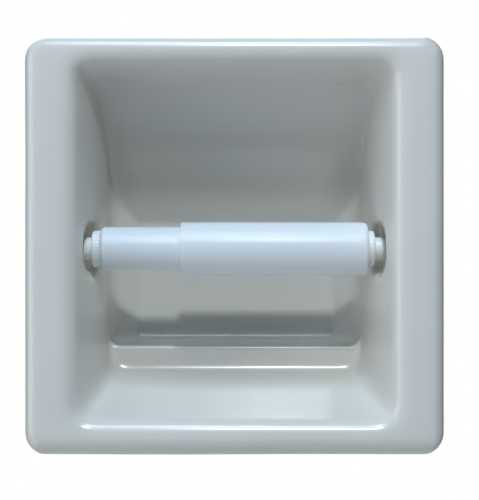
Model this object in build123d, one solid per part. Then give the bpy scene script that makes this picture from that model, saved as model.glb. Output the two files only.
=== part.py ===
from build123d import *
import os

# Recessed toilet paper holder: a glazed ceramic housing set into a wall, with a sprung roller
# of two telescoping plastic tubes.
#
# Frame: X to the right, Y into the wall, Z up. The origin is the centre of the flange's back
# plane, which lies on the finished wall. The flange stands in front of the wall, at negative Y,
# and the recess lies behind it. All lengths are in millimetres.

# ---------------------------------------------------------------- driving dimensions: housing
FLANGE_SIZE = 160.0         # width and height of the square flange
FLANGE_PROUD = 11.0         # how far the flange's crest stands off the wall
FLANGE_CORNER = 9.0         # corner radius of the flange's outline
OUTER_ROLL = 6.0            # rounding from the crest to the flange's edge
MOUTH_ROLL = 5.0            # rounding from the crest into the recess
SHELL = 6.5                 # thickness of the ceramic behind the wall

CREST_Y = -FLANGE_PROUD
BACK_Y = 62.0               # inner face of the upright back
OVERCUT = 3.0               # how far the cutting solids run past the crest
OPEN_Y = CREST_Y - OVERCUT
LOWER_OVERLAP = 4.0         # how far the lower cutting solid runs past the ledge's rounding
WIDE = 200.0                # reaches past the whole part, for solids that cut or bound
NEAR = 0.05                 # tolerance when edges are picked by their place

# Side walls, seen from above: they flare towards the mouth.
MOUTH_HALF_WIDTH = 61.2     # at the crest, before the mouth is rolled
FLARE_MEETS_X = 54.08       # where the flare's line meets the rear wall's line
FLARE_MEETS_Y = 15.56
FLARE_BLEND = 205.0         # radius that joins the two lines
REAR_HALF_WIDTH = 52.5      # where the side walls' lines reach the upright back
BACK_HALF_WIDTH = 42.5      # flat part of the upright back, between its two bevelled corners
BEVEL_DEPTH = 9.5           # how far each bevel comes forward
BEVEL_BLEND = 16.0          # radius that joins bevel and side wall

# Heights, seen from the side.
CEILING_Z = 69.4            # ceiling at the crest, before the mouth is rolled
CEILING_END = (19.0, 64.9)  # where the ceiling turns into the slanted back (y, z)
SLANT_END = (BACK_Y, 9.85)  # where the slanted back turns into the upright back
LEDGE_END = (BACK_Y, -40.8)  # where the upright back turns into the ledge
LEDGE_NOSE = (44.5, -42.0)  # front edge of the ledge, above the riser (y, z)
RISER_FOOT = (43.0, -53.0)  # where the riser meets the floor (y, z)
RISER_RUN = (LEDGE_NOSE[0] - RISER_FOOT[0]) / (LEDGE_NOSE[1] - RISER_FOOT[1])
FLOOR_Z = -67.0             # floor at the crest, before the mouth is rolled
CEILING_LINE = ((CREST_Y, CEILING_Z), CEILING_END)
SLANT_LINE = (CEILING_END, SLANT_END)
LEDGE_LINE = (LEDGE_NOSE, LEDGE_END)
FLOOR_LINE = ((CREST_Y, FLOOR_Z), RISER_FOOT)

CEILING_EDGE = 5.0          # rounding between ceiling and side walls
SLANT_EDGE = 1.2            # rounding round the slanted back
LEDGE_EDGE = 4.5            # rounding between ledge, side walls and back
FLOOR_EDGE = 6.0            # rounding between floor and side walls

KEY_RIDGES_Y = (18.0, 34.0, 50.0)  # ridges round the outside that lock into the mortar
KEY_RIDGE_WIDTH = 5.0
KEY_RIDGE_HEIGHT = 1.6

# ---------------------------------------------------------------- driving dimensions: sockets
ROLLER_Y = 13.0             # the roller's axis
ROLLER_Z = -1.0
RECESS_RADIUS = 10.75       # shallow round recess in each side wall
RECESS_FLOOR_X = 59.4
SOCKET_START_X = 47.0       # inside the side wall, where the socket's cuts begin
PEG_RADIUS = 4.5
PEG_END_X = 62.0            # both pegs end this far from the middle
PEG_CLEARANCE = 0.1         # radial
PEG_END_GAP = 0.6           # from each peg to the end of its bore
BOSS_RADIUS = 15.0          # thickening behind each socket, inside the wall
BOSS_END_X = 66.5

# ---------------------------------------------------------------- driving dimensions: roller
OUTER_RADIUS = 10.45
OUTER_BORE_RADIUS = 9.2
OUTER_LEFT_X = -21.2        # open mouth of the outer tube
OUTER_RIGHT_X = 52.6        # closed end of the outer tube
OUTER_END_ROLL = 2.0
LIP_LENGTH = 4.0            # the mouth is drawn in to guide the inner tube

INNER_RADIUS = 8.6
INNER_BORE_RADIUS = 7.3
INNER_LEFT_X = -53.2        # closed end of the inner tube
INNER_RIGHT_X = -2.0        # open end, inside the outer tube
INNER_END_CHAMFER = 1.4
SLIDE_CLEARANCE = 0.1       # radial, between the lip and the inner tube
STOP_RADIUS = 9.0           # stop ring on the inner tube's hidden end
STOP_LENGTH = 2.0
BEAD_X = -22.4              # shallow groove just outside the outer tube's mouth
BEAD_WIDTH = 0.6
BEAD_DEPTH = 0.25

END_WALL = 3.6              # thickness of each tube's closed end
SPIGOT_RADIUS = 5.8
COLLAR_RADIUS = 7.1
OUTER_COLLAR_LENGTH = 2.6
INNER_COLLAR_LENGTH = 3.1
COLLAR_ROLL = 0.8
PEG_ROLL = 0.9
RIB_COUNT = 30
RIB_SIZE = 0.5

SPRING_WIRE_RADIUS = 0.5
SPRING_RADIUS = 5.0         # to the middle of the wire
SPRING_TURNS = 15
SPRING_END_GAP = 0.1        # to each plug's spigot


def prism_along_x(outline):
    """Solid of an outline in Y and Z, stretched both ways along X."""
    return extrude(Plane.YZ * make_face(Polyline(*outline, close=True)), WIDE / 2, both=True)


def space_behind(y):
    """Everything behind a plane across Y."""
    return Pos(0, y + WIDE / 2, 0) * Box(WIDE, WIDE, WIDE)


def rod(x_low, x_high, radius):
    """Round rod on the roller's axis."""
    place = Plane((x_low, ROLLER_Y, ROLLER_Z), x_dir=(0, 1, 0), z_dir=(1, 0, 0))
    return extrude(place * Circle(radius), x_high - x_low)


def bar(x_from, x_to, radius):
    """The same rod, with its ends given in either order."""
    return rod(min(x_from, x_to), max(x_from, x_to), radius)


# ---------------------------------------------------------------- housing
def line_at(y, point_a, point_b):
    """Second coordinate of the line through two points, at a given Y."""
    slope = (point_b[1] - point_a[1]) / (point_b[0] - point_a[0])
    return point_a[1] + slope * (y - point_a[0])


def plan_face(grow=0.0):
    """Recess seen from above, its walls moved outwards by grow."""
    open_x = line_at(OPEN_Y, (CREST_Y, MOUTH_HALF_WIDTH), (FLARE_MEETS_Y, FLARE_MEETS_X))
    bevel_y = BACK_Y - BEVEL_DEPTH
    bevel_x = line_at(bevel_y, (FLARE_MEETS_Y, FLARE_MEETS_X), (BACK_Y, REAR_HALF_WIDTH))
    flare = (FLARE_MEETS_X, FLARE_MEETS_Y)
    right = [(open_x, OPEN_Y), flare, (bevel_x, bevel_y), (BACK_HALF_WIDTH, BACK_Y)]
    left = [(-x, y) for x, y in reversed(right)]
    face = make_face(Polyline(*right, *left, close=True))
    bends = [v for v in face.vertices() if abs(v.Y - FLARE_MEETS_Y) < NEAR]
    face = fillet(bends, FLARE_BLEND)
    bevels = [v for v in face.vertices() if abs(v.Y - bevel_y) < NEAR]
    face = fillet(bevels, BEVEL_BLEND)
    if grow:
        face = offset(face, grow, kind=Kind.INTERSECTION)
    return face


def upper_outline():
    """Ceiling, slanted back, upright back and ledge, seen from the side."""
    ceiling = (OPEN_Y, line_at(OPEN_Y, *CEILING_LINE))
    ledge = (OPEN_Y, line_at(OPEN_Y, *LEDGE_LINE))
    return [ceiling, CEILING_END, SLANT_END, LEDGE_END, ledge]


def lower_outline():
    """Riser and floor, seen from the side. It overlaps the upper outline, past the ledge's rounding."""
    rise = LEDGE_EDGE + LOWER_OVERLAP
    top = LEDGE_NOSE[1] + rise
    riser_top = (LEDGE_NOSE[0] + rise * RISER_RUN, top)
    floor = (OPEN_Y, line_at(OPEN_Y, *FLOOR_LINE))
    return [riser_top, RISER_FOOT, floor, (OPEN_Y, top)]


def edges_on(solid, line, low_y, high_y):
    """Edges of a solid whose middle lies on a line in Y and Z, between two values of Y."""
    chosen = []
    for edge in solid.edges():
        middle = edge @ 0.5
        if low_y < middle.Y < high_y and abs(middle.Z - line_at(middle.Y, *line)) < NEAR:
            chosen.append(edge)
    return chosen


def recess():
    """The hollow of the housing, as a solid to cut with."""
    plan = extrude(plan_face(), WIDE / 2, both=True)
    upper = plan & prism_along_x(upper_outline())
    lower = plan & prism_along_x(lower_outline())
    start_y, end_y = OPEN_Y + NEAR, BACK_Y + NEAR
    upper = fillet(edges_on(upper, LEDGE_LINE, start_y, end_y), LEDGE_EDGE)
    upper = fillet(edges_on(upper, CEILING_LINE, start_y, CEILING_END[0] - NEAR), CEILING_EDGE)
    upper = fillet(edges_on(upper, SLANT_LINE, CEILING_END[0] - NEAR, end_y), SLANT_EDGE)
    lower = fillet(edges_on(lower, FLOOR_LINE, start_y, RISER_FOOT[0] - NEAR), FLOOR_EDGE)
    return upper + lower


def outer_outline():
    """Whole recess seen from the side, with sharp corners."""
    return upper_outline()[:4] + [LEDGE_NOSE] + lower_outline()[1:3]


def grown(amount):
    """The recess grown on all sides, from the middle of the flange's thickness backwards."""
    side = make_face(Polyline(*outer_outline(), close=True))
    side = offset(side, amount, kind=Kind.INTERSECTION)
    body = extrude(Plane.YZ * side, WIDE / 2, both=True)
    body &= extrude(plan_face(amount), WIDE / 2, both=True)
    return body & space_behind(CREST_Y / 2)


def shell_body():
    """The ceramic behind the wall, before the recess is cut."""
    body = grown(SHELL)
    ridged = grown(SHELL + KEY_RIDGE_HEIGHT)
    for ridge_y in KEY_RIDGES_Y:
        body += ridged & (Pos(0, ridge_y, 0) * Box(WIDE, KEY_RIDGE_WIDTH, WIDE))
    return body


def flange():
    """Solid square flange, with its front edge rolled."""
    block = Pos(0, CREST_Y / 2, 0) * Box(FLANGE_SIZE, FLANGE_PROUD, FLANGE_SIZE)
    block = fillet(block.edges().filter_by(Axis.Y), FLANGE_CORNER)
    front = block.faces().sort_by(Axis.Y)[0]
    return fillet(front.edges(), OUTER_ROLL)


def boss(side):
    """Thickening round a socket. Up to the roller's axis it keeps one height, down to the wall."""
    near_x, far_x = side * REAR_HALF_WIDTH, side * BOSS_END_X
    middle = Pos((near_x + far_x) / 2, ROLLER_Y / 2, ROLLER_Z)
    stem = middle * Box(abs(far_x - near_x), ROLLER_Y, 2 * BOSS_RADIUS)
    return stem + (bar(near_x, far_x, BOSS_RADIUS) & space_behind(ROLLER_Y))


def housing():
    body = flange() + shell_body() + boss(-1) + boss(1)
    body -= recess()
    mouth = body.faces().sort_by(Axis.Y)[0].inner_wires()[0]
    body = fillet(mouth.edges(), MOUTH_ROLL)
    for side in (-1, 1):
        start_x = side * SOCKET_START_X
        body -= bar(start_x, side * RECESS_FLOOR_X, RECESS_RADIUS)
        body -= bar(start_x, side * (PEG_END_X + PEG_END_GAP), PEG_RADIUS + PEG_CLEARANCE)
    return body


# ---------------------------------------------------------------- roller
def outer_tube():
    tube = rod(OUTER_LEFT_X, OUTER_RIGHT_X, OUTER_RADIUS)
    right_end = tube.edges().filter_by(GeomType.CIRCLE).sort_by(Axis.X)[-1]
    tube = fillet(right_end, OUTER_END_ROLL)
    tube -= rod(OUTER_LEFT_X, OUTER_LEFT_X + LIP_LENGTH, INNER_RADIUS + SLIDE_CLEARANCE)
    tube -= rod(OUTER_LEFT_X + LIP_LENGTH, OUTER_RIGHT_X - END_WALL, OUTER_BORE_RADIUS)
    tube -= rod(OUTER_RIGHT_X - END_WALL, OUTER_RIGHT_X, SPIGOT_RADIUS)
    return tube


def inner_tube():
    tube = rod(INNER_LEFT_X, INNER_RIGHT_X, INNER_RADIUS)
    left_end = tube.edges().filter_by(GeomType.CIRCLE).sort_by(Axis.X)[0]
    tube = chamfer(left_end, INNER_END_CHAMFER)
    tube += rod(INNER_RIGHT_X - STOP_LENGTH, INNER_RIGHT_X, STOP_RADIUS)
    bead = rod(BEAD_X, BEAD_X + BEAD_WIDTH, INNER_RADIUS + 1)
    tube -= bead - rod(BEAD_X, BEAD_X + BEAD_WIDTH, INNER_RADIUS - BEAD_DEPTH)
    tube -= rod(INNER_LEFT_X + END_WALL, INNER_RIGHT_X, INNER_BORE_RADIUS)
    tube -= rod(INNER_LEFT_X, INNER_LEFT_X + END_WALL, SPIGOT_RADIUS)
    return tube


def end_plug(tube_end_x, collar_length, side):
    """Spigot, collar and peg. side is -1 for the left end and 1 for the right."""
    collar_end_x = tube_end_x + side * collar_length
    collar = bar(tube_end_x, collar_end_x, COLLAR_RADIUS)
    collar_rims = collar.edges().filter_by(GeomType.CIRCLE).sort_by(Axis.X)
    collar = fillet(collar_rims[0 if side < 0 else -1], COLLAR_ROLL)
    peg = bar(collar_end_x, side * PEG_END_X, PEG_RADIUS)
    peg_rims = peg.edges().filter_by(GeomType.CIRCLE).sort_by(Axis.X)
    peg = fillet(peg_rims[0 if side < 0 else -1], PEG_ROLL)
    plug = bar(tube_end_x - side * END_WALL, tube_end_x, SPIGOT_RADIUS) + collar + peg

    rib_middle_x = tube_end_x + side * (collar_length - COLLAR_ROLL) / 2
    for index in range(RIB_COUNT):
        turn = Rot(360 / RIB_COUNT * index, 0, 0)
        groove = Pos(0, COLLAR_RADIUS, 0) * Box(collar_length - COLLAR_ROLL, RIB_SIZE, RIB_SIZE)
        plug -= Pos(rib_middle_x, ROLLER_Y, ROLLER_Z) * turn * groove
    return plug


def spring():
    """Round wire wound between the two plugs' spigots."""
    end_gap = END_WALL + SPRING_WIRE_RADIUS + SPRING_END_GAP
    low = INNER_LEFT_X + end_gap
    high = OUTER_RIGHT_X - end_gap
    pitch = (high - low) / SPRING_TURNS
    place = Plane((low, ROLLER_Y, ROLLER_Z), x_dir=(0, 1, 0), z_dir=(1, 0, 0))
    path = place * Helix(pitch, high - low, SPRING_RADIUS)
    start = Plane(path @ 0, z_dir=path % 0)
    return sweep(start * Circle(SPRING_WIRE_RADIUS), path=path, is_frenet=True)


def main():
    os.makedirs("parts", exist_ok=True)
    pieces = {
        "housing": housing(),
        "roller_outer_tube": outer_tube(),
        "roller_inner_tube": inner_tube(),
        "outer_end_plug": end_plug(OUTER_RIGHT_X, OUTER_COLLAR_LENGTH, 1),
        "inner_end_plug": end_plug(INNER_LEFT_X, INNER_COLLAR_LENGTH, -1),
        "roller_spring": spring(),
    }
    for node, shape in pieces.items():
        export_step(shape, f"parts/{node}.step")
        print(node, round(shape.volume, 1))


main()
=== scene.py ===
import math

import bmesh
import bpy
import numpy as np
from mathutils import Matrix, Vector, noise


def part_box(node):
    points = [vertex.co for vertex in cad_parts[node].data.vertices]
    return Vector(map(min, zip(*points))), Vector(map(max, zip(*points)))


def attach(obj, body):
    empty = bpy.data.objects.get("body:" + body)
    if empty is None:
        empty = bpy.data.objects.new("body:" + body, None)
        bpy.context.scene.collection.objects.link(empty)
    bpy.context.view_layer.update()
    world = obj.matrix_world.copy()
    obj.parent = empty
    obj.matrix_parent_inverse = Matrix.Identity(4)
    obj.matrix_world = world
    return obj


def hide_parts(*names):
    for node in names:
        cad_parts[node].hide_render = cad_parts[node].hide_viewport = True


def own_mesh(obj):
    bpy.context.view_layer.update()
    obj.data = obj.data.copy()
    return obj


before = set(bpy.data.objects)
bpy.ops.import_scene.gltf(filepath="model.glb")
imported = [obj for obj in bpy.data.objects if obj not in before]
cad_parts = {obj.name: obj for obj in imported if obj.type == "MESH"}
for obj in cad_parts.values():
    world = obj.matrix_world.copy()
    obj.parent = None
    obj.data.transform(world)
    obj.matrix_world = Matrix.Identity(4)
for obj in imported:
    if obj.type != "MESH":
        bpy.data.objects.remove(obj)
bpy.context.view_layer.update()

# Recessed toilet paper holder: a glazed ceramic housing and a sprung plastic roller.
# Metres. X to the right, Y into the wall, Z up, as in the frame.

MM = 0.001
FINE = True

HOUSING_LOW = Vector(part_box("housing")[0])
OUTER_LOW, OUTER_HIGH = (Vector(corner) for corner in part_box("roller_outer_tube"))
INNER_LOW, INNER_HIGH = (Vector(corner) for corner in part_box("roller_inner_tube"))
OUTER_PLUG_LOW, OUTER_PLUG_HIGH = (Vector(corner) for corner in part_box("outer_end_plug"))
INNER_PLUG_LOW, INNER_PLUG_HIGH = (Vector(corner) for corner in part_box("inner_end_plug"))
SPRING_LOW, SPRING_HIGH = (Vector(corner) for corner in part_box("roller_spring"))

AXIS_Y = (OUTER_LOW.y + OUTER_HIGH.y) / 2
AXIS_Z = (OUTER_LOW.z + OUTER_HIGH.z) / 2
PEG_RADIUS = 4.5 * MM
SPIGOT_RADIUS = 5.8 * MM
SPIGOT_LENGTH = 3.6 * MM


# ---------------------------------------------------------------- meshes
def new_object(name, mesh):
    obj = bpy.data.objects.new(name, mesh)
    bpy.context.scene.collection.objects.link(obj)
    return obj


def shade_smooth(mesh):
    mesh.polygons.foreach_set("use_smooth", np.ones(len(mesh.polygons), bool))
    mesh.update()


def points_of(mesh):
    points = np.empty(len(mesh.vertices) * 3)
    mesh.vertices.foreach_get("co", points)
    return points.reshape(-1, 3)


def set_points(mesh, points):
    mesh.vertices.foreach_set("co", points.reshape(-1))
    mesh.update()


def normals_of(mesh):
    normals = np.empty(len(mesh.vertices) * 3)
    mesh.vertex_normals.foreach_get("vector", normals)
    return normals.reshape(-1, 3)


# ---------------------------------------------------------------- housing
VOXEL = 0.6 * MM if FINE else 1.6 * MM
SOFTEN_STEPS = 11 if FINE else 2
MOUTH_STEPS = 200 if FINE else 28
WEIGHT_LEVELS = 20              # steps of the mouth's softening from none to full

# Where the stronger softening of the mouth starts, and where it is full.
FLANGE_ACROSS = (76 * MM, 71 * MM)
MOUTH_Y = (14 * MM, 5 * MM)
RECESS_FLOOR_Z = (-43 * MM, -48 * MM)
BORE_RADII = (8 * MM, 6 * MM)

SOCKETS_BEYOND_X = 50 * MM
SOCKET_REACH = 16 * MM          # from the roller's axis
SOCKET_SOFTENING = 0.5
# Radii from the roller's axis over which the sockets' painted light (a lighter, warmer glaze colour) fades
# in.
SOCKET_PAINTED_LIGHT_RADII = (11.5 * MM, 9.5 * MM)
PEG_CLEARANCE = 0.2 * MM        # radial
PEG_END_GAP = 0.4 * MM

BOTTOM_ROLL = 8.5 * MM          # radius of the flange's bottom edge
WAVE_DEPTH, WAVE_LENGTH, WAVE_SEED = 0.3 * MM, 55 * MM, 3.7
RIPPLE_DEPTH, RIPPLE_LENGTH, RIPPLE_SEED = 0.06 * MM, 14 * MM, 9.1

GLAZE_LINE_Y = -0.6 * MM        # bare clay lies behind it
DRIP_DEPTH, DRIP_LENGTH, DRIP_SEED = 1.2 * MM, 9 * MM, 21.0
LIP_Y = 1.5 * MM                # the mouth's glazed skin, in front of this and within the two below
LIP_HALF_WIDTH = 66 * MM
LIP_HALF_HEIGHT = 70 * MM
BEND_GAIN = 14                  # a bend this many times smaller than a voxel counts as sharp
BEND_SPREADS = 6


def softened_copy(node):
    """One closed skin over the CAD casting, with every edge rounded as a glaze rounds it."""
    obj = new_object("housing_glazed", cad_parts[node].data.copy())
    remesh = obj.modifiers.new("skin", "REMESH")
    remesh.mode = "VOXEL"
    remesh.voxel_size = VOXEL
    smooth = obj.modifiers.new("soften", "SMOOTH")
    smooth.factor = 0.5
    smooth.iterations = SOFTEN_STEPS
    depsgraph = bpy.context.evaluated_depsgraph_get()
    skin = bpy.data.meshes.new_from_object(obj.evaluated_get(depsgraph))
    obj.modifiers.clear()
    obj.data = skin
    return obj


def ramp(values, zero_at, one_at):
    """0 to 1 between the two given places, held beyond them."""
    return np.clip((values - zero_at) / (one_at - zero_at), 0, 1)


def from_axis(points):
    """Distance from the roller's axis."""
    return np.hypot(points[:, 1] - AXIS_Y, points[:, 2] - AXIS_Z)


def soften_mouth(obj):
    """Rounds the mouth, the floor and the sockets' rims more than the crisp creases further back."""
    points = points_of(obj.data)
    across = np.abs(points[:, 0])
    height = np.abs(points[:, 2])
    inside = ramp(np.maximum(across, height), *FLANGE_ACROSS)
    mouth = ramp(points[:, 1], *MOUTH_Y)
    floor = ramp(points[:, 2], *RECESS_FLOOR_Z)
    beyond = across > SOCKETS_BEYOND_X
    bore = ramp(from_axis(points), *BORE_RADII) * beyond
    weights = inside * np.maximum(mouth, floor)
    near_socket = beyond & (from_axis(points) < SOCKET_REACH)
    weights[near_socket] = np.maximum(weights[near_socket], SOCKET_SOFTENING)
    weights *= 1 - bore
    group = obj.vertex_groups.new(name="mouth")
    levels = np.round(weights * WEIGHT_LEVELS).astype(int)
    for level in range(1, WEIGHT_LEVELS + 1):
        group.add(np.flatnonzero(levels == level).tolist(), level / WEIGHT_LEVELS, "REPLACE")
    smooth = obj.modifiers.new("mouth", "SMOOTH")
    smooth.factor = 0.5
    smooth.iterations = MOUTH_STEPS
    smooth.vertex_group = group.name
    depsgraph = bpy.context.evaluated_depsgraph_get()
    skin = bpy.data.meshes.new_from_object(obj.evaluated_get(depsgraph))
    obj.modifiers.clear()
    obj.vertex_groups.clear()
    obj.data = skin


def wave(point, length, seed):
    return 0.5 + 0.5 * noise.noise(Vector(point) / length + Vector((seed, 0, 0)))


def fire_warp(mesh):
    """Moves the skin inwards by a little, unevenly, as casting and firing do."""
    points = points_of(mesh)
    normals = normals_of(mesh)
    depth = np.array([
        WAVE_DEPTH * wave(p, WAVE_LENGTH, WAVE_SEED)
        + RIPPLE_DEPTH * wave(p, RIPPLE_LENGTH, RIPPLE_SEED)
        for p in points
    ])
    set_points(mesh, points - normals * depth[:, None])


def roll_bottom_rim(mesh):
    """Gives the flange's bottom edge a fuller roll than its other three edges."""
    points = points_of(mesh)
    centre = np.array((HOUSING_LOW.y + BOTTOM_ROLL, HOUSING_LOW.z + BOTTOM_ROLL))
    offset = points[:, 1:] - centre
    distance = np.linalg.norm(offset, axis=1)
    outside = (offset < 0).all(axis=1) & (distance > BOTTOM_ROLL)
    points[outside, 1:] = centre + offset[outside] * (BOTTOM_ROLL / distance[outside])[:, None]
    set_points(mesh, points)


def clear_the_pegs(mesh):
    """Keeps the sockets' bores open round the pegs."""
    points = points_of(mesh)
    outwards = points[:, 1:] - (AXIS_Y, AXIS_Z)
    distance = from_axis(points)
    needed = PEG_RADIUS + PEG_CLEARANCE
    reached = (np.abs(points[:, 0]) < OUTER_PLUG_HIGH.x + PEG_END_GAP) & (distance < needed)
    growth = needed / np.maximum(distance[reached], 1e-6) - 1
    points[reached, 1:] += outwards[reached] * growth[:, None]
    set_points(mesh, points)


def bare_faces(mesh):
    """Faces of the unglazed body: those joined to the rearmost face, behind the glaze line."""
    middles = np.empty(len(mesh.polygons) * 3)
    mesh.polygons.foreach_get("center", middles)
    middles = middles.reshape(-1, 3)
    drips = np.array([wave(p, DRIP_LENGTH, DRIP_SEED) for p in middles]) * DRIP_DEPTH
    behind = middles[:, 1] > GLAZE_LINE_Y - drips
    across, height = np.abs(middles[:, 0]), np.abs(middles[:, 2])
    lip = (middles[:, 1] < LIP_Y) & (across < LIP_HALF_WIDTH) & (height < LIP_HALF_HEIGHT)
    behind &= ~lip
    form = bmesh.new()
    form.from_mesh(mesh)
    form.faces.ensure_lookup_table()
    start = int(np.argmax(middles[:, 1]))
    found = {start}
    front = [start]
    while front:
        face = form.faces[front.pop()]
        for edge in face.edges:
            for other in edge.link_faces:
                if other.index not in found and behind[other.index]:
                    found.add(other.index)
                    front.append(other.index)
    form.free()
    return np.array(sorted(found))


def edge_wear(mesh):
    """How sharply the skin bends outwards at each point, from -1 in hollows to 1 on edges."""
    points = points_of(mesh)
    normals = normals_of(mesh)
    edges = np.empty(len(mesh.edges) * 2, np.int64)
    mesh.edges.foreach_get("vertices", edges)
    edges = edges.reshape(-1, 2)
    total = np.zeros_like(points)
    count = np.zeros(len(points))
    for a, b in ((0, 1), (1, 0)):
        np.add.at(total, edges[:, a], points[edges[:, b]])
        np.add.at(count, edges[:, a], 1)
    lift = ((points - total / count[:, None]) * normals).sum(1) / VOXEL
    for _ in range(BEND_SPREADS):
        spread = np.zeros(len(points))
        for a, b in ((0, 1), (1, 0)):
            np.add.at(spread, edges[:, a], lift[edges[:, b]])
        lift = 0.5 * lift + 0.5 * spread / count
    return np.clip(lift * BEND_GAIN, -1, 1)


def build_housing():
    obj = softened_copy("housing")
    soften_mouth(obj)
    mesh = obj.data
    roll_bottom_rim(mesh)
    fire_warp(mesh)
    clear_the_pegs(mesh)
    shade_smooth(mesh)
    bend = mesh.attributes.new("bend", "FLOAT", "POINT")
    bend.data.foreach_set("value", edge_wear(mesh))
    points = points_of(mesh)
    # Painted light: a lighter, warmer glaze colour inside the sockets, standing in for the light there.
    painted_socket_light = ramp(from_axis(points), *SOCKET_PAINTED_LIGHT_RADII)
    painted_socket_light *= np.abs(points[:, 0]) > SOCKETS_BEYOND_X
    socket = mesh.attributes.new("socket", "FLOAT", "POINT")
    socket.data.foreach_set("value", painted_socket_light)
    mesh.materials.clear()
    mesh.materials.append(glaze_material())
    mesh.materials.append(bare_clay_material())
    slots = np.zeros(len(mesh.polygons), np.int32)
    slots[bare_faces(mesh)] = 1
    mesh.polygons.foreach_set("material_index", slots)
    return obj


# ---------------------------------------------------------------- roller
SEGMENTS = 240 if FINE else 96
RIBS = 30


def rounded_profile(corners):
    """Corners are (x, radius, rounding). Returns the (x, radius) points with each corner rounded."""
    points = []
    count = len(corners)
    for index, (x, r, rounding) in enumerate(corners):
        here = Vector((x, r))
        before = Vector(corners[index - 1][:2]) - here
        after = Vector(corners[(index + 1) % count][:2]) - here
        if rounding <= 0:
            points.append(here)
            continue
        half = before.angle(after) / 2
        reach = rounding / math.tan(half)
        start = here + before.normalized() * reach
        end = here + after.normalized() * reach
        steps = 7
        for step in range(steps + 1):
            t = step / steps
            points.append((1 - t) ** 2 * start + 2 * t * (1 - t) * here + t ** 2 * end)
    return points


def lathe(name, corners, shape=None):
    """Closed solid of revolution about the roller's axis. shape(x, r, turn) may change a point's radius."""
    profile = rounded_profile(corners)
    form = bmesh.new()
    rings = []
    for segment in range(SEGMENTS):
        turn = 2 * math.pi * segment / SEGMENTS
        ring = []
        for x, r in profile:
            radius = shape(x, r, turn) if shape else r
            place = (x, AXIS_Y + radius * math.cos(turn), AXIS_Z + radius * math.sin(turn))
            ring.append(form.verts.new(place))
        rings.append(ring)
    for segment in range(SEGMENTS):
        ring, following = rings[segment], rings[(segment + 1) % SEGMENTS]
        for index in range(len(profile)):
            after = (index + 1) % len(profile)
            form.faces.new((ring[index], ring[after], following[after], following[index]))
    bmesh.ops.remove_doubles(form, verts=form.verts, dist=1e-7)
    bmesh.ops.recalc_face_normals(form, faces=form.faces)
    mesh = bpy.data.meshes.new(name)
    form.to_mesh(mesh)
    form.free()
    shade_smooth(mesh)
    return new_object(name, mesh)


def build_outer_tube():
    left, right = OUTER_LOW.x, OUTER_HIGH.x
    outside = (OUTER_HIGH.z - OUTER_LOW.z) / 2
    lip = outside - 1.75 * MM
    bore = outside - 1.25 * MM
    return lathe("outer_tube", [
        (left, lip, 0.15 * MM),
        (left, outside, 0.25 * MM),
        (right, outside, 2.2 * MM),
        (right, SPIGOT_RADIUS, 0.1 * MM),
        (right - SPIGOT_LENGTH, SPIGOT_RADIUS, 0),
        (right - SPIGOT_LENGTH, bore, 0),
        (left + 4 * MM, bore, 0.3 * MM),
        (left + 4 * MM, lip, 0.3 * MM),
    ])


def build_inner_tube():
    left, right = INNER_LOW.x, INNER_HIGH.x
    stop = (INNER_HIGH.z - INNER_LOW.z) / 2
    outside = 8.6 * MM
    bore = 7.3 * MM
    groove = OUTER_LOW.x - 1.2 * MM
    return lathe("inner_tube", [
        (left, SPIGOT_RADIUS, 0.1 * MM),
        (left, outside - 1.4 * MM, 0.5 * MM),
        (left + 1.4 * MM, outside, 0.6 * MM),
        (groove, outside, 0.1 * MM),
        (groove + 0.2 * MM, outside - 0.25 * MM, 0.1 * MM),
        (groove + 0.5 * MM, outside - 0.25 * MM, 0.1 * MM),
        (groove + 0.7 * MM, outside, 0.1 * MM),
        (right - 2 * MM, outside, 0),
        (right - 2 * MM, stop, 0.2 * MM),
        (right, stop, 0.2 * MM),
        (right, bore, 0.2 * MM),
        (left + SPIGOT_LENGTH, bore, 0),
        (left + SPIGOT_LENGTH, SPIGOT_RADIUS, 0),
    ])


def build_plug(name, low, high, side):
    """Spigot, ribbed collar and peg. side is -1 for the left end and 1 for the right."""
    spigot_x, peg_x = (low.x, high.x) if side > 0 else (high.x, low.x)
    collar_x = spigot_x + side * SPIGOT_LENGTH
    collar_radius = (high.z - low.z) / 2
    collar_end_x = collar_x + side * (2.6 * MM if side > 0 else 3.1 * MM)
    dimple = 2.0 * MM

    def ribbed(x, r, turn):
        on_collar = r > collar_radius - 0.35 * MM and abs(x - collar_end_x) > 0.9 * MM
        if not on_collar:
            return r
        return r - 0.22 * MM * max(0.0, math.cos(turn * RIBS)) ** 3

    return lathe(name, [
        (spigot_x, 0.02 * MM, 0),
        (spigot_x, SPIGOT_RADIUS, 0.3 * MM),
        (collar_x, SPIGOT_RADIUS, 0),
        (collar_x, collar_radius, 0.15 * MM),
        (collar_end_x, collar_radius, 0.9 * MM),
        (collar_end_x, PEG_RADIUS, 0.35 * MM),
        (peg_x, PEG_RADIUS, 0.9 * MM),
        (peg_x, dimple, 0.3 * MM),
        (peg_x - side * 0.5 * MM, 0.02 * MM, 0),
    ], ribbed)


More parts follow.
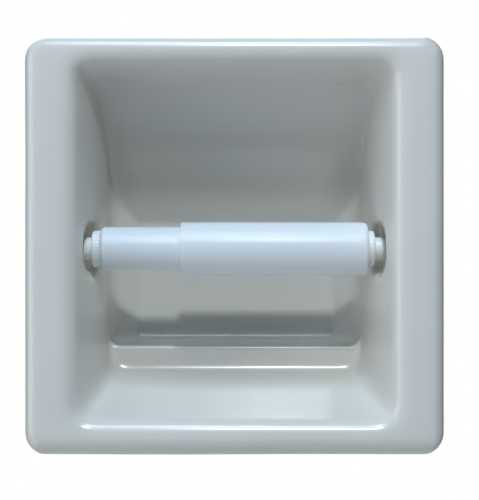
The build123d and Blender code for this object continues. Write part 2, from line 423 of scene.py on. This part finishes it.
def build_spring():
    """Round wire wound along the roller's axis, between the two plugs."""
    wire = 0.5 * MM
    coil = (SPRING_HIGH.z - SPRING_LOW.z) / 2 - wire
    turns = 15
    steps = turns * (40 if FINE else 16)
    curve = bpy.data.curves.new("spring_wire", "CURVE")
    curve.dimensions = "3D"
    curve.bevel_depth = wire
    curve.bevel_resolution = 3
    spline = curve.splines.new("POLY")
    spline.points.add(steps)
    start, end = SPRING_LOW.x + wire, SPRING_HIGH.x - wire
    for step in range(steps + 1):
        t = step / steps
        turn = 2 * math.pi * turns * t
        place = (start + (end - start) * t, AXIS_Y + coil * math.cos(turn), AXIS_Z + coil * math.sin(turn))
        spline.points[step].co = (*place, 1)
    curve.use_fill_caps = True
    template = bpy.data.objects.new("spring_curve", curve)
    bpy.context.scene.collection.objects.link(template)
    depsgraph = bpy.context.evaluated_depsgraph_get()
    mesh = bpy.data.meshes.new_from_object(template.evaluated_get(depsgraph))
    bpy.data.objects.remove(template)
    shade_smooth(mesh)
    return new_object("spring_wire", mesh)


# ---------------------------------------------------------------- materials
class Nodes:
    """Short names for the nodes that the materials are made of."""

    def __init__(self, name):
        self.material = bpy.data.materials.new(name)
        self.material.use_nodes = True
        self.tree = self.material.node_tree
        self.shader = self.tree.nodes["Principled BSDF"]
        self.place = self.tree.nodes.new("ShaderNodeTexCoord").outputs["Object"]

    def link(self, source, target):
        self.tree.links.new(source, target)

    def noise(self, scale, detail=3.0, roughness=0.5, stretch=None):
        node = self.tree.nodes.new("ShaderNodeTexNoise")
        node.inputs["Scale"].default_value = scale
        node.inputs["Detail"].default_value = detail
        node.inputs["Roughness"].default_value = roughness
        place = self.place
        if stretch:
            mapping = self.tree.nodes.new("ShaderNodeMapping")
            mapping.inputs["Scale"].default_value = stretch
            self.link(place, mapping.inputs["Vector"])
            place = mapping.outputs["Vector"]
        self.link(place, node.inputs["Vector"])
        return node.outputs["Fac"]

    def cells(self, scale):
        node = self.tree.nodes.new("ShaderNodeTexVoronoi")
        node.inputs["Scale"].default_value = scale
        self.link(self.place, node.inputs["Vector"])
        return node.outputs["Distance"]

    def attribute(self, name):
        node = self.tree.nodes.new("ShaderNodeAttribute")
        node.attribute_name = name
        return node.outputs["Fac"]

    def spread(self, source, low, high, to_low=0.0, to_high=1.0):
        node = self.tree.nodes.new("ShaderNodeMapRange")
        node.inputs["From Min"].default_value = low
        node.inputs["From Max"].default_value = high
        node.inputs["To Min"].default_value = to_low
        node.inputs["To Max"].default_value = to_high
        self.link(source, node.inputs["Value"])
        return node.outputs["Result"]

    def mix(self, factor, first, second):
        node = self.tree.nodes.new("ShaderNodeMix")
        node.data_type = "RGBA"
        self.link(factor, node.inputs["Factor"])
        for socket, colour in ((node.inputs["A"], first), (node.inputs["B"], second)):
            if isinstance(colour, tuple):
                socket.default_value = (*colour, 1)
            else:
                self.link(colour, socket)
        return node.outputs["Result"]

    def bump(self, height, strength, distance, below=None):
        node = self.tree.nodes.new("ShaderNodeBump")
        node.inputs["Strength"].default_value = strength
        node.inputs["Distance"].default_value = distance
        self.link(height, node.inputs["Height"])
        if below is not None:
            self.link(below, node.inputs["Normal"])
        return node.outputs["Normal"]

    def finish(self, colour, roughness, normal):
        self.link(colour, self.shader.inputs["Base Color"])
        self.link(roughness, self.shader.inputs["Roughness"])
        self.link(normal, self.shader.inputs["Normal"])
        return self.material


def glaze_material():
    """White glaze: cool in hollows, warm on edges, with painted light in the sockets (a lighter, warmer
    colour), faintly rippled and pinholed.
    """
    n = Nodes("white_glaze")
    drift = n.noise(14, 1)
    colour = n.mix(drift, (0.725, 0.707, 0.65), (0.785, 0.762, 0.71))
    bend = n.attribute("bend")
    colour = n.mix(n.spread(bend, 0.25, 1.0, 0, 0.5), colour, (0.74, 0.715, 0.67))
    colour = n.mix(n.spread(bend, -0.25, -1.0, 0, 0.45), colour, (0.68, 0.69, 0.68))
    # Painted light: the sockets are painted lighter and warmer, standing in for the light inside them.
    colour = n.mix(n.attribute("socket"), colour, (0.80, 0.74, 0.65))
    speck = n.spread(n.cells(150), 0.035, 0.02)
    colour = n.mix(n.spread(speck, 0, 1, 0, 0.35), colour, (0.52, 0.49, 0.43))
    roughness = n.spread(n.noise(18, 1), 0, 1, 0.20, 0.29)
    normal = n.bump(n.noise(30, 0), 0.10, 0.0009)
    normal = n.bump(n.noise(300, 1), 0.03, 0.0001, normal)
    normal = n.bump(speck, 0.3, -0.0001, normal)
    n.shader.inputs["IOR"].default_value = 1.52
    n.shader.inputs["Coat Weight"].default_value = 0.15
    n.shader.inputs["Coat Roughness"].default_value = 0.15
    return n.finish(colour, roughness, normal)


def bare_clay_material():
    """Fired clay without glaze: warm, dry and grainy, with darker firing marks."""
    n = Nodes("bare_clay")
    colour = n.mix(n.spread(n.noise(30, 6, 0.6), 0.3, 0.7), (0.60, 0.52, 0.42), (0.72, 0.66, 0.57))
    colour = n.mix(n.spread(n.noise(260, 4, 0.7), 0.55, 0.75), colour, (0.50, 0.41, 0.32))
    colour = n.mix(n.spread(n.cells(420), 0.12, 0.06, 0, 0.6), colour, (0.36, 0.29, 0.23))
    roughness = n.spread(n.noise(300, 4), 0.3, 0.7, 0.78, 0.94)
    normal = n.bump(n.noise(700, 6, 0.7), 0.5, 0.0003)
    normal = n.bump(n.noise(90, 3), 0.35, 0.0007, normal)
    return n.finish(colour, roughness, normal)


def plastic_material(name, light, shade, gloss):
    """Moulded plastic: faint flow marks along the roller, rubbed patches and a fine mould grain."""
    n = Nodes(name)
    flow = n.noise(9, 4, 0.55, stretch=(1.0, 9.0, 9.0))
    colour = n.mix(n.spread(flow, 0.1, 0.9), shade, light)
    rub = n.noise(70, 6, 0.65, stretch=(0.5, 1.0, 1.0))
    roughness = n.spread(rub, 0.1, 0.9, gloss, gloss + 0.14)
    normal = n.bump(n.noise(1500, 2), 0.08, 0.00008)
    normal = n.bump(n.noise(40, 3, 0.5, stretch=(0.3, 1.0, 1.0)), 0.12, 0.0003, normal)
    n.shader.inputs["IOR"].default_value = 1.49
    n.shader.inputs["Subsurface Weight"].default_value = 0.08
    n.shader.inputs["Subsurface Radius"].default_value = (0.0022, 0.0020, 0.0017)
    n.shader.inputs["Subsurface Scale"].default_value = 1.0
    return n.finish(colour, roughness, normal)


def steel_material():
    """Drawn spring wire, bright with fine lengthwise drawing marks."""
    n = Nodes("spring_wire_steel")
    colour = n.mix(n.spread(n.noise(160, 4), 0.3, 0.7), (0.42, 0.41, 0.40), (0.60, 0.60, 0.61))
    roughness = n.spread(n.noise(900, 3), 0.3, 0.7, 0.24, 0.42)
    normal = n.bump(n.noise(2500, 2), 0.15, 0.00005)
    n.shader.inputs["Metallic"].default_value = 1.0
    return n.finish(colour, roughness, normal)


# ---------------------------------------------------------------- camera, light, floor
CAMERA_DISTANCE = 0.461     # from the wall's plane
CAMERA_X = 1.9 * MM
CAMERA_Z = -1.5 * MM
LENS = 86.0
SENSOR = 36.0
TARGET = Vector((0, 0, 0))


def add_camera():
    data = bpy.data.cameras.new("camera")
    data.sensor_width = SENSOR
    data.lens = LENS
    data.clip_start = 0.01
    camera = bpy.data.objects.new("camera", data)
    camera.location = (CAMERA_X, -CAMERA_DISTANCE, CAMERA_Z)
    camera.rotation_euler = (math.pi / 2, 0, 0)
    bpy.context.scene.collection.objects.link(camera)
    bpy.context.scene.camera = camera


def add_area(name, azimuth, elevation, distance, size, power, colour):
    """Square soft light. Azimuth 0 is straight in front, positive to the right. Degrees and metres."""
    data = bpy.data.lights.new(name, "AREA")
    data.shape = "RECTANGLE"
    data.size, data.size_y = size
    data.energy = power
    data.color = colour
    light = bpy.data.objects.new(name, data)
    turn, rise = math.radians(azimuth), math.radians(elevation)
    aim = Vector((math.sin(turn) * math.cos(rise), -math.cos(turn) * math.cos(rise), math.sin(rise)))
    light.location = TARGET + aim * distance
    light.rotation_euler = aim.to_track_quat("Z", "Y").to_euler()
    bpy.context.scene.collection.objects.link(light)


def add_lights():
    add_area("window", 4, 41, 1.4, (0.08, 0.08), 8.9, (0.83, 0.92, 1.0))
    add_area("sky", -3, 62, 1.4, (0.5, 0.5), 9.3, (0.58, 0.78, 1.0))
    add_area("room", -70, 5, 1.4, (1.0, 1.0), 6.6, (0.89, 0.93, 1.0))
    add_area("behind", 192, 45, 1.6, (1.4, 1.4), 12.0, (1.0, 0.98, 0.96))


def add_world():
    world = bpy.data.worlds.new("room")
    world.use_nodes = True
    tree = world.node_tree
    fill = tree.nodes["Background"]
    fill.inputs["Color"].default_value = (0.90, 0.92, 0.93, 1)
    fill.inputs["Strength"].default_value = 0.02
    paper = tree.nodes.new("ShaderNodeBackground")
    paper.inputs["Color"].default_value = (1, 1, 1, 1)
    paper.inputs["Strength"].default_value = 1.0
    path = tree.nodes.new("ShaderNodeLightPath")
    choose = tree.nodes.new("ShaderNodeMixShader")
    tree.links.new(path.outputs["Is Camera Ray"], choose.inputs["Fac"])
    tree.links.new(fill.outputs["Background"], choose.inputs[1])
    tree.links.new(paper.outputs["Background"], choose.inputs[2])
    tree.links.new(choose.outputs["Shader"], tree.nodes["World Output"].inputs["Surface"])
    bpy.context.scene.world = world
    bpy.context.scene.view_settings.view_transform = "Standard"


FLOOR_DROP = 0.5
FLOOR_RADIUS = 1.2


def add_floor():
    form = bmesh.new()
    bmesh.ops.create_circle(form, cap_ends=True, segments=96, radius=FLOOR_RADIUS)
    mesh = bpy.data.meshes.new("floor")
    form.to_mesh(mesh)
    form.free()
    floor = new_object("floor", mesh)
    floor.location.z = -FLOOR_DROP
    n = Nodes("pale_floor")
    colour = n.mix(n.spread(n.noise(3, 3), 0.3, 0.7), (0.84, 0.84, 0.84), (0.87, 0.87, 0.87))
    roughness = n.spread(n.noise(8, 3), 0.3, 0.7, 0.7, 0.85)
    mesh.materials.append(n.finish(colour, roughness, n.bump(n.noise(150, 3), 0.1, 0.0005)))


# ---------------------------------------------------------------- assembly
def assemble():
    housing = build_housing()
    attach(housing, "housing")
    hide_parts("housing")

    white = plastic_material("white_moulding", (0.80, 0.845, 0.86), (0.765, 0.81, 0.83), 0.30)
    ivory = plastic_material("ivory_moulding", (0.82, 0.84, 0.81), (0.78, 0.80, 0.765), 0.34)

    outer = build_outer_tube()
    outer.data.materials.append(white)
    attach(outer, "roller_outer")
    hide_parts("roller_outer_tube")

    inner = build_inner_tube()
    inner.data.materials.append(white)
    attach(inner, "roller_inner")
    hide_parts("roller_inner_tube")

    outer_plug = build_plug("outer_plug", OUTER_PLUG_LOW, OUTER_PLUG_HIGH, 1)
    outer_plug.data.materials.append(ivory)
    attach(outer_plug, "roller_outer")
    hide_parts("outer_end_plug")

    inner_plug = build_plug("inner_plug", INNER_PLUG_LOW, INNER_PLUG_HIGH, -1)
    inner_plug.data.materials.append(ivory)
    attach(inner_plug, "roller_inner")
    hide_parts("inner_end_plug")

    spring = build_spring()
    spring.data.materials.append(steel_material())
    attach(spring, "roller_outer")
    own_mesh(spring)
    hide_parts("roller_spring")


add_camera()
add_world()
add_lights()
add_floor()
assemble()
